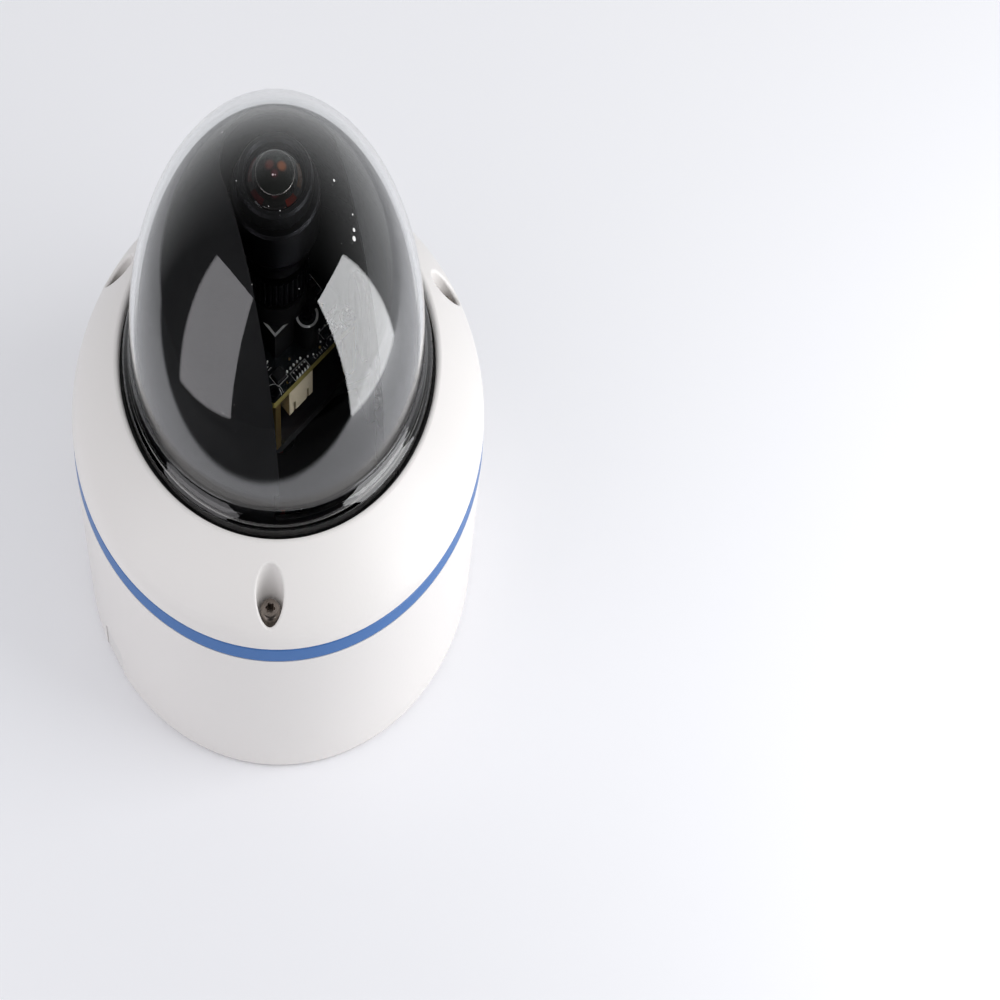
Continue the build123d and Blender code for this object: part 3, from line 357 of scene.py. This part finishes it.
def glass_with_painted_glints(name, deep, painted_glints):
    """Dark glass with painted glints: soft glowing spots painted where reflections would be; each is x, y,
    reach in mm and a colour.
    """
    finish = Finish(name)
    spot = finish.place()
    bloom = finish.grain(120.0, 1.0)
    tone = finish.blend(bloom, rgba(*deep), rgba(*(part * 0.5 for part in deep)))
    glow = rgba(0.0, 0.0, 0.0)
    flat = finish.node("ShaderNodeVectorMath", {"operation": "MULTIPLY"}, {0: spot, 1: (1.0, 1.0, 0.0)})
    # Each glint is a painted reflection: an emission spot, so the dark glass glows there though it is no lamp.
    for x, y, reach, colour in painted_glints:
        away = finish.node("ShaderNodeVectorMath", {"operation": "DISTANCE"}, {
            0: flat, 1: (x * millimetre, y * millimetre, 0.0)}, "Value")
        near = finish.node("ShaderNodeMapRange", {"interpolation_type": "SMOOTHSTEP"}, {
            "Value": away, "From Min": reach * millimetre, "From Max": reach * 0.35 * millimetre})
        glow = finish.blend(near, glow, rgba(*colour))
    return finish.finish_with(finish.surface(
        Base_Color=tone, Roughness=0.12, Specular_IOR_Level=0.15,
        Emission_Color=glow, Emission_Strength=1.0))


def painted_reflection_coating(name, colour):
    """A painted reflection: the soft colour that a coated surface throws back, deeper here and there."""
    finish = Finish(name)
    bloom = finish.grain(420.0, 3.0)
    tone = finish.blend(bloom, rgba(*colour), rgba(*(part * 0.12 for part in colour)))
    return finish.finish_with(finish.surface(Base_Color=tone, Roughness=0.5, Specular_IOR_Level=0.1))


# Painted reflections on the dark lens glass: four soft coloured spots, and two small bright painted
# highlights.
painted_lens_glints = [(2.0, 1.2, 1.9, (0.16, 0.05, 0.02)), (-1.8, 1.0, 1.9, (0.06, 0.013, 0.010)),
               (0.1, -1.2, 1.5, (0.04, 0.006, 0.010)), (0.2, 2.9, 1.5, (0.012, 0.018, 0.016)),
               (-0.4, -1.7, 0.34, (0.9, 0.75, 0.8)), (0.35, -1.6, 0.26, (0.5, 0.38, 0.42))]
dome_clear = polished_dome("dome_polycarbonate")
front_glass = lens_glass("front_glass", (0.86, 0.84, 0.82), 1.5)
painted_glint_glass = glass_with_painted_glints("painted_glint_glass", (0.012, 0.014, 0.012), painted_lens_glints)
# Colours for the painted reflections in the lens, not a property of any real surface.
red_painted_reflection = painted_reflection_coating("red_painted_reflection", (0.20, 0.018, 0.008))
wine_painted_reflection = painted_reflection_coating("wine_painted_reflection", (0.07, 0.008, 0.010))
amber_painted_reflection = painted_reflection_coating("amber_painted_reflection", (0.11, 0.05, 0.022))
print("glass ready")

# %% [markdown]
# ## Which part gets which finish
# The parts keep their shape, so a finish goes straight into the material slots of each. One table says which
# finish belongs to which part, and the cell stops if a part was forgotten.

# %% Hand out the finishes
worn_by = {
    white_coat: ["base_housing", "cover_housing"],
    band_plastic: ["accent_band"],
    dome_clear: ["dome_bubble"],
    white_plastic: ["side_notch_plug"],
    seal_rubber: ["dome_seal", "cover_seal", "cable_grommet", "cover_screw_washers"],
    liner_plastic: ["inner_liner"],
    dark_plastic: ["lens_mount", "tilt_knob_left", "tilt_knob_right", "pan_retainer", "roll_retainer"],
    black_coat: ["chassis_plate", "pan_table", "yoke_arm_left", "yoke_arm_right", "tilt_cradle",
                 "roll_plate"],
    dark_steel: ["cover_screws"],
    zinc_plate: ["clamp_screws", "chassis_screws", "main_board_screws", "pan_retainer_screws",
                 "liner_screws", "yoke_screws", "roll_retainer_screws", "dome_clamp_ring", "chassis_posts"],
    turned_brass: ["sensor_standoffs", "main_board_standoffs"],
    lens_board: ["sensor_board"],
    base_board: ["main_board"],
    chip_plastic: ["sensor_board_chips", "main_board_chips", "board_capacitors"],
    nylon: ["lead_connector", "lead_plug", "base_connector"],
    tinned_shield: ["network_jack"],
    red_insulation: ["sensor_leads", "base_leads"],
    sensor_plastic: ["image_sensor"],
    anodised_black: ["sensor_board_screws", "lens_mount_screws", "lens_barrel", "lens_head", "focus_ring",
                     "inner_lens_ring"],
    front_glass: ["front_element"],
    painted_glint_glass: ["inner_element", "rear_element"],
}
dressed = set()
for finish_material, wearers in worn_by.items():
    for wearer in wearers:
        part = nodes[wearer]
        if not part.material_slots:
            part.data.materials.append(finish_material)
        for material_slot in part.material_slots:
            material_slot.material = finish_material
        dressed.add(wearer)
assert dressed == set(nodes), set(nodes) ^ dressed
print("dressed parts:", len(dressed))

# %% [markdown]
# ## Making new pieces
# Some pieces are too fine for the solids, and one is too smooth. Each is drawn with bmesh where it lies, so
# it needs no move. One helper turns the drawing into an object: normals outwards, smooth but for its sharp
# edges, a finish, and the body of the mechanism that carries it.

# %% New pieces
def new_piece(name, shape, finish_material, body, crease=40.0):
    bmesh.ops.recalc_face_normals(shape, faces=shape.faces)
    data = bpy.data.meshes.new(name)
    shape.to_mesh(data)
    shape.free()
    data.polygons.foreach_set("use_smooth", [True] * len(data.polygons))
    data.set_sharp_from_angle(angle=math.radians(crease))
    data.materials.append(finish_material)
    piece = bpy.data.objects.new(name, data)
    scene.collection.objects.link(piece)
    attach(piece, body)
    print(name, "faces:", len(data.polygons))
    return piece


def spun(points, steps):
    """A bmesh of the solid that a closed outline of (radius, height) in mm makes round the Z axis."""
    shape = bmesh.new()
    corners = [shape.verts.new((radius * millimetre, 0.0, height * millimetre)) for radius, height in points]
    edges = [shape.edges.new(pair) for pair in zip(corners, corners[1:] + corners[:1])]
    bmesh.ops.spin(shape, geom=corners + edges, cent=(0, 0, 0), axis=(0, 0, 1), angle=math.tau, steps=steps)
    bmesh.ops.remove_doubles(shape, verts=shape.verts, dist=0.001 * millimetre)
    lone = [edge for edge in shape.edges if not edge.link_faces]
    bmesh.ops.delete(shape, geom=lone, context="EDGES")
    return shape


print("helpers for new pieces ready")

# %% [markdown]
# ## The dome, spun smooth
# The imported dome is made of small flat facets. That is too coarse for something so polished: a lamp mirrored
# in it would get a ragged edge. The same profile spun in many steps mirrors cleanly. Above its flange the
# foot stands upright and curves in to the ball, so that it fills the opening of the cover.

# %% The dome
dome_low, dome_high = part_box("dome_bubble")
ball_outside, ball_inside = 50.4, 48.8
dome_centre = dome_high.z / millimetre - ball_outside
foot_flare, flare_height = 2.9, 4.2
foot_top = dome_centre - 6.6
flange_low = dome_low.z / millimetre
flange_high = flange_low + 2.5
flange_reach = dome_high.x / millimetre
spin_steps = 144


def ball(radius, count=56):
    turns = [math.pi / 2 * step / count for step in range(count + 1)]
    return [(radius * math.cos(turn) * (step < count), dome_centre + radius * math.sin(turn))
            for step, turn in enumerate(turns)]


def foot(radius, count=12):
    """The curve from the upright foot to the ball: a smooth step from one radius to the other."""
    rows = []
    for step in range(count + 1):
        part = step / count
        spread = foot_flare * (1 - part * part * (3 - 2 * part))
        rise = 3 * part * (1 - part) ** 2 * 0.5 + 3 * part ** 2 * (1 - part) * 0.5 + part ** 3
        rows.append((radius + spread, foot_top + flare_height * rise))
    return rows


outside = [(flange_reach, flange_low), (flange_reach, flange_high), (ball_outside + foot_flare, flange_high)]
outside += foot(ball_outside) + ball(ball_outside)
inside = [(ball_inside + foot_flare, flange_low)] + foot(ball_inside) + ball(ball_inside)
smooth_dome = new_piece("smooth_dome", spun(outside + inside[::-1], spin_steps), dome_clear, "housing")
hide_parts("dome_bubble")

# %% [markdown]
# ## Printing on the lens board
# A board carries a printed legend in pale ink. Every line of it is a thin ribbon. It is drawn flat in the
# board's own square, with its corners cut on the bisector, and then thickened. These helpers also draw the
# painted highlight on the lens mount and the painted reflection petals in the lens, which are ribbons too.

# %% Pale ink
turn_cosine, turn_sine = math.cos(math.radians(board_turn)), math.sin(math.radians(board_turn))
board_half, screw_reach = 19.0, 17.0
narrowest_corner = 0.4      # keeps a sharp corner of a ribbon from shooting far out


def on_board(x, y, height=0.0):
    """A point of the lens board: x and y in the board's own square, height above its top, all in mm."""
    return Vector((x * turn_cosine - y * turn_sine, x * turn_sine + y * turn_cosine,
                   board_high / millimetre + height)) * millimetre


def bent_line(centre, radius, first, last, count=12):
    angles = [math.radians(first + (last - first) * step / count) for step in range(count + 1)]
    return [(centre[0] + radius * math.cos(angle), centre[1] + radius * math.sin(angle)) for angle in angles]


def ribbon(shape, points, width, place=on_board, height=0.01, closed=False):
    """Adds a flat ribbon along (x, y) points; place puts each point where it lies."""
    rails = []
    for index, (x, y) in enumerate(points):
        before = points[index - 1] if index or closed else None
        after = points[(index + 1) % len(points)] if index + 1 < len(points) or closed else None
        ways = [Vector(way).normalized() for way in (
            (x - before[0], y - before[1]) if before else None,
            (after[0] - x, after[1] - y) if after else None) if way]
        along = sum(ways, Vector((0.0, 0.0))).normalized()
        across_ribbon = Vector((-along.y, along.x)) * width / 2 / max(narrowest_corner, along.dot(ways[0]))
        rails.append([shape.verts.new(place(x + side * across_ribbon.x, y + side * across_ribbon.y, height))
                      for side in (-1, 1)])
    pairs = list(zip(rails, rails[1:])) + ([(rails[-1], rails[0])] if closed else [])
    return [shape.faces.new((near[0], far[0], far[1], near[1])) for near, far in pairs]


def thickened(shape, depth):
    bmesh.ops.recalc_face_normals(shape, faces=shape.faces)
    bmesh.ops.solidify(shape, geom=shape.faces[:], thickness=depth * millimetre)
    return shape


def framed(centre, length, width):
    x, y = centre
    return [(x - length / 2, y - width / 2), (x + length / 2, y - width / 2),
            (x + length / 2, y + width / 2), (x - length / 2, y + width / 2)]


print("a corner of the board lies at", [round(part, 4) for part in on_board(-board_half, -board_half)])

# %% [markdown]
# ## The printed legend
# The legend shows who places the parts where they belong: rings round the corner screws, frames round the
# chips, and rows of short strokes that stand for lettering and pin marks. A ring runs off the board at its
# corner, so it stops where the edge cuts it.

# %% The printed legend
ink = moulding("pale_ink", (0.40, 0.40, 0.39), 0.6, 1500.0, 0.00002, 0.3)
print_shape = bmesh.new()
edge_gap = 1.7
corner_signs = ((-1, -1), (1, -1), (1, 1), (-1, 1))
for quarter, (side, front) in enumerate(corner_signs):
    middle = (side * screw_reach, front * screw_reach)
    for radius, width in ((2.45, 0.35), (3.15, 0.2)):
        spare = math.degrees(math.asin(edge_gap / radius))
        ring = bent_line(middle, radius, 90 * quarter - spare, 90 * quarter + 90 + spare, 20)
        ribbon(print_shape, ring, width)
chip_frames = (((-5.5, -17.4), 6.6, 2.8), ((-12.1, -14.0), 4.6, 4.2), ((-13.5, -1.0), 5.4, 6.2),
               ((13.5, -1.5), 5.4, 6.2), ((9.6, -15.0), 6.0, 3.2), ((-4.0, 16.6), 9.0, 2.2))
for centre, length, width in chip_frames:
    ribbon(print_shape, framed(centre, length, width), 0.22, closed=True)
for step in range(9):
    x = -15.4 + 0.45 * (step % 2)
    ribbon(print_shape, [(x, 3.4 + step * 1.05), (x + 1.5 - 0.5 * (step % 3), 3.4 + step * 1.05)], 0.32)
for step in range(7):
    ribbon(print_shape, [(-13.6, -4.9 - step * 0.9), (-12.2 - 0.4 * (step % 2), -4.9 - step * 0.9)], 0.28)
for step in range(6):
    ribbon(print_shape, [(12.2 + step * 0.75, -12.4), (12.8 + step * 0.75, -11.0)], 0.25)
    ribbon(print_shape, [(0.6 + step * 1.1, -18.5), (0.6 + step * 1.1, -17.6)], 0.25)
ink_thickness = 0.02
new_piece("board_printing", thickened(print_shape, ink_thickness), ink, "roll")

# %% [markdown]
# ## A bead on the lens mount
# A pale ribbon runs along the front top edges of the block and round the ear there: a painted highlight for
# the light that these edges catch. It is the one clear line in the dark under the lens.

# %% The painted highlight
def mount_outline(half, ear_radius, ear_shift=2.85, ear_centre=11.8):
    """The front edges of the block and the ear on it, in the board's own square."""
    lean = math.degrees(math.asin((ear_centre - half) / ear_radius))
    ear = bent_line((ear_shift, -ear_centre), ear_radius, 180 - lean, 352, 20)
    return [(-half, half / 3), (-half, -half)] + ear


mount_block_height = 6.5
edge_highlight_shape = bmesh.new()
# Painted highlight: a pale ribbon on the top edges of the block, standing for the light those edges catch.
ribbon(edge_highlight_shape, mount_outline(9.05, 3.45), 0.75, height=mount_block_height + 0.01)
edge_highlight_paint = moulding("painted_edge_highlight", (0.50, 0.50, 0.49), 0.5, 900.0, 0.00008, 0.4)
new_piece("mount_painted_highlight", thickened(edge_highlight_shape, 0.12), edge_highlight_paint, "roll")

# %% [markdown]
# ## Solder and gold
# Bright points are what the eye finds first on a dark board: beads of solder at both ends of each chip, the
# pins of the connector that come up through the board, and gold test points. A bead is half a ball pressed
# flat, and a test point a low disc.

# %% Solder and test points
def bead(shape, x, y, length, width, height):
    made = bmesh.ops.create_uvsphere(shape, u_segments=12, v_segments=8, radius=1.0)["verts"]
    for vertex in made:
        vertex.co = on_board(x + vertex.co.x * length / 2, y + vertex.co.y * width / 2,
                             max(vertex.co.z, -0.05) * height)


resistor_pitch, pin_pitch = 1.2, 1.5
small_joints = ((7.4, -12.9), (5.2, -15.9), (8.2, -17.6), (0.9, -17.0), (9.6, -13.3), (11.6, -14.6),
                (-15.2, -11.6), (-12.0, -8.2), (13.4, -17.2), (-0.9, -16.2), (-11.8, 12.2), (12.6, 11.0),
                (9.4, 15.2))
solder_shape = bmesh.new()
for step in range(5):
    for end in (-1, 1):
        bead(solder_shape, -3.1 - resistor_pitch * step, -17.7 + end * 0.8, 0.62, 0.9, 0.62)
for pin in range(5):
    bead(solder_shape, -9.2 + pin_pitch * pin, -14.9, 0.8, 0.8, 0.5)
for x, y in small_joints:
    bead(solder_shape, x, y, 0.62, 0.5, 0.36)
solder = moulding("solder_tin", (0.78, 0.78, 0.75), 0.3, 900.0, 0.00003, 0.2)
new_piece("board_solder", solder_shape, solder, "roll")

test_points = ((-15.4, -8.4), (-11.2, -17.3), (-6.0, -12.6), (4.0, -16.9), (13.0, -8.2), (15.6, 4.6),
               (-15.2, 14.2), (-9.4, 14.6), (3.4, 14.2), (8.0, 12.8), (15.4, 9.2), (-17.4, -7.0))
test_point_radius = 0.45
gold_shape = bmesh.new()
for x, y in test_points:
    disc = bmesh.ops.create_circle(gold_shape, cap_ends=True, segments=16, radius=test_point_radius)["verts"]
    for vertex in disc:
        vertex.co = on_board(x + vertex.co.x, y + vertex.co.y, 0.02)
gold = worked_metal("gold_flash", (0.85, 0.62, 0.26), 0.22, (1.0, 1.0, 1.0), 0.1)
new_piece("board_test_points", thickened(gold_shape, 0.03), gold, "roll")

# %% [markdown]
# ## Inside the lens
# Under the curved front glass lies a second, smaller lens. A thin turned edge round it catches the light, and
# its dark face carries painted reflections: a few spots on it glow in red, amber and white. Both follow the
# curve of the glass above, so their heights come from one helper. They are spun round the axis, as a lathe
# would cut them.

# %% Inner lens
glass_low, glass_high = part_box("front_element")
ledge, glass_top = glass_low.z / millimetre, glass_high.z / millimetre
glass_edge_height, glass_reach = 0.5, 9.7


def under_glass(radius, depth):
    """Height of a point that lies this deep under the curved front of the glass."""
    rise = glass_top - ledge - glass_edge_height
    return ledge + glass_edge_height + rise * (1 - (radius / glass_reach) ** 2) - depth


turned_steps = 72
edge_radius, edge_round = 6.1, 0.15
edge_middle = under_glass(edge_radius, 0.4)
edge_outline = [(edge_radius + edge_round * math.cos(math.tau * step / 10),
                 edge_middle + edge_round * math.sin(math.tau * step / 10)) for step in range(10)]
new_piece("inner_lens_edge", spun(edge_outline, turned_steps), bright_edge, "roll")

# A dark face just under the glass, which carries the painted glints.
face_radius, face_top, face_bottom = 5.8, 0.6, 0.9
face_rows = [face_radius * step / 12 for step in range(13)]
face_outline = [(radius, under_glass(radius, face_top)) for radius in face_rows]
face_outline += [(radius, under_glass(face_radius, face_bottom)) for radius in (face_radius, 0.0)]
new_piece("lens_face_painted_glints", spun(face_outline, turned_steps), painted_glint_glass, "roll")

# %% [markdown]
# ## Painted reflections: petals of colour
# Each coating in a lens throws back one colour, and from the side it shows as a petal near the rim of the
# glass. Real petals wander with the eye. These are painted reflections that stay where they are: four
# coloured bent ribbons on the ledge.

# %% Petals of painted reflection
def in_lens(x, y, height):
    return Vector((x, y, ledge + height)) * millimetre


petal_height, petal_thickness = 0.7, 0.02
petals = (("lens_painted_reflection_red", red_painted_reflection, -56.0, -30.0, 7.9, 1.9),
          ("lens_painted_reflection_wine", wine_painted_reflection, -146.0, -112.0, 7.7, 1.8),
          ("lens_painted_reflection_amber", amber_painted_reflection, -12.0, 36.0, 7.8, 1.5),
          ("lens_painted_reflection_left", wine_painted_reflection, 146.0, 196.0, 7.8, 1.4))
for name, finish_material, first, last, radius, width in petals:
    petal_shape = bmesh.new()
    ribbon(petal_shape, bent_line((0.0, 0.0), radius, first, last, 18), width, in_lens, petal_height)
    new_piece(name, thickened(petal_shape, petal_thickness), finish_material, "roll")

# %% [markdown]
# ## Specks on the dome
# A dome in use is never clean. A few pale specks sit on it, most of them at the right. Each is a ball pressed
# flat against the dome, laid by its bearing and its height, which is easier to judge than x, y and z.

# %% Specks
def on_ball(bearing, rise, reach):
    """A point on the ball: bearing from the front towards the right and height, both in degrees."""
    bearing, rise = math.radians(bearing), math.radians(rise)
    flat = reach * math.cos(rise)
    return Vector((flat * math.sin(bearing), -flat * math.cos(bearing), dome_centre + reach * math.sin(rise)))


specks = ((91.0, 67.6, 0.36), (70.2, 55.0, 0.62), (73.6, 56.2, 0.46), (79.8, 58.4, 0.24),
          (48.1, 44.1, 0.22), (-118.0, 65.5, 0.22), (60.0, 30.0, 0.14))
pressed_flat = 0.8
speck_shape = bmesh.new()
for bearing, rise, size in specks:
    centre = on_ball(bearing, rise, ball_outside)
    outwards = (centre - Vector((0.0, 0.0, dome_centre))).normalized()
    for vertex in bmesh.ops.create_uvsphere(speck_shape, u_segments=10, v_segments=6, radius=size)["verts"]:
        offset = vertex.co.copy()
        vertex.co = (centre + offset - outwards * offset.dot(outwards) * pressed_flat) * millimetre
speck_dust = moulding("speck_dust", (0.80, 0.80, 0.78), 0.8, 900.0, 0.00005)
new_piece("dome_specks", speck_shape, speck_dust, "housing")

# %% [markdown]
# ## The sheet
# The camera stands on a wide pale sheet whose colour is painted paler towards the back, as painted light. To a
# mirrored ray it ends a hand's breadth in front of the camera, where the table is dark: without that the dome
# would be milky at its foot. A faint glow that only seen and mirrored rays meet brings the sheet near white,
# and adds no light.

# %% Floor
sheet_front, sheet_slant, front_blur = 0.155, 0.2, 0.02
sheet_glow = 0.075


def pale_sheet():
    finish = Finish("pale_sheet")
    cloud = finish.grain(2.0, 2.0)
    spot = finish.place()
    depth = finish.node("ShaderNodeSeparateXYZ", None, {0: spot}, output="Y")
    side = finish.node("ShaderNodeSeparateXYZ", None, {0: spot}, output="X")
    # Painted light: the sheet's colour grows paler towards the back, as the lamps would light it.
    far = finish.node("ShaderNodeMapRange", None, {"Value": depth, "From Min": -0.1, "From Max": 0.5})
    tone = finish.blend(far, rgba(0.80, 0.80, 0.825), rgba(0.93, 0.93, 0.95))
    tone = finish.blend(cloud * 0.5, tone, rgba(0.83, 0.83, 0.85))
    beyond = finish.node("ShaderNodeMapRange", None, {
        "Value": depth + side * sheet_slant, "From Min": -sheet_front, "From Max": -sheet_front - front_blur})
    tone = finish.blend(beyond * finish.mirrored(), tone, rgba(0.015, 0.015, 0.016))
    seen = finish.node("ShaderNodeLightPath", output="Is Camera Ray") + finish.mirrored() * (1 - beyond)
    glow = finish.blend(seen, rgba(0.0, 0.0, 0.0), rgba(0.97, 0.98, 1.0))
    return finish.finish_with(finish.surface(
        Base_Color=tone, Roughness=0.8, Specular_IOR_Level=0.2,
        Emission_Color=glow, Emission_Strength=sheet_glow))


sheet_shape = bmesh.new()
bmesh.ops.create_grid(sheet_shape, x_segments=1, y_segments=1, size=6.0)
sheet_data = bpy.data.meshes.new("floor")
sheet_shape.to_mesh(sheet_data)
sheet_shape.free()
sheet_data.materials.append(pale_sheet())
floor = bpy.data.objects.new("floor", sheet_data)
scene.collection.objects.link(floor)
print("floor ready")

# %% [markdown]
# ## The lamps and the room
# Two soft boxes stand close by: one at the left in front, and a brighter one at the right. The dome draws
# both as curved windows, so their place, size and tilt decide the shape of those windows. What the dome
# mirrors besides them matters as much: in front the room is dark, and the wall behind is palest low down.
# Only mirrored rays meet this room. All other light comes evenly from everywhere, so the housing has soft
# shadows.

# %% Lamps and surround
def on_sphere(turn, up):
    """The unit vector at an angle from the front, towards the right, and an angle above the table."""
    return Vector((math.sin(turn) * math.cos(up), -math.cos(turn) * math.cos(up), math.sin(up)))


def soft_box(name, bearing, rise, distance, width, height, facing, watts, tint):
    """A soft box at a bearing and a rise; facing holds its swing, tilt and roll. All angles in degrees."""
    turn, up, swing, tilt, roll = (math.radians(angle) for angle in (bearing, rise) + facing)
    lamp_data = bpy.data.lights.new(name, "AREA")
    lamp_data.shape, lamp_data.size, lamp_data.size_y = "RECTANGLE", width, height
    lamp_data.energy, lamp_data.color = watts, tint
    lamp = bpy.data.objects.new(name, lamp_data)
    lamp.location = on_sphere(turn, up) * distance
    look = -on_sphere(turn + swing, tilt)
    lamp.rotation_euler = (look.to_track_quat("-Z", "Y") @ Quaternion((0.0, 0.0, 1.0), roll)).to_euler()
    scene.collection.objects.link(lamp)


def room(name, fill, wall):
    """Even light for all but mirrored rays, which meet a wall that is palest low down behind."""
    finish = Finish(name, bpy.data.worlds, "ShaderNodeOutputWorld")
    direction = finish.node("ShaderNodeTexCoord", output="Generated")
    right = finish.node("ShaderNodeSeparateXYZ", None, {0: direction}, output="X")
    back = finish.node("ShaderNodeSeparateXYZ", None, {0: direction}, output="Y")
    height = finish.node("ShaderNodeSeparateXYZ", None, {0: direction}, output="Z")
    behind = finish.node("ShaderNodeMapRange", None, {"Value": back + right * 0.2, "From Max": 0.9})
    low = finish.node("ShaderNodeMapRange", None, {
        "Value": height, "From Max": 0.85, "To Min": 1.0, "To Max": 0.12})
    mirrored = finish.mirrored()
    strength = mirrored * behind * low * wall + (1 - mirrored) * fill
    return finish.finish_with(finish.node("ShaderNodeBackground", None, {
        "Color": rgba(0.97, 0.98, 1.0), "Strength": strength}))


soft_box("left_box", -51.7, 36.4, 0.58, 0.43, 0.65, (5.8, 20.0, 7.6), 0.88, (1.0, 0.98, 1.02))
soft_box("right_box", 85.6, 32.6, 0.60, 0.44, 0.65, (-18.9, 0.6, 0.0), 2.8, (0.98, 0.985, 1.0))
scene.world = room("surround", 0.6, 0.85)
scene.view_settings.view_transform = "Standard"
print("lamps:", [lamp.name for lamp in bpy.data.lights])
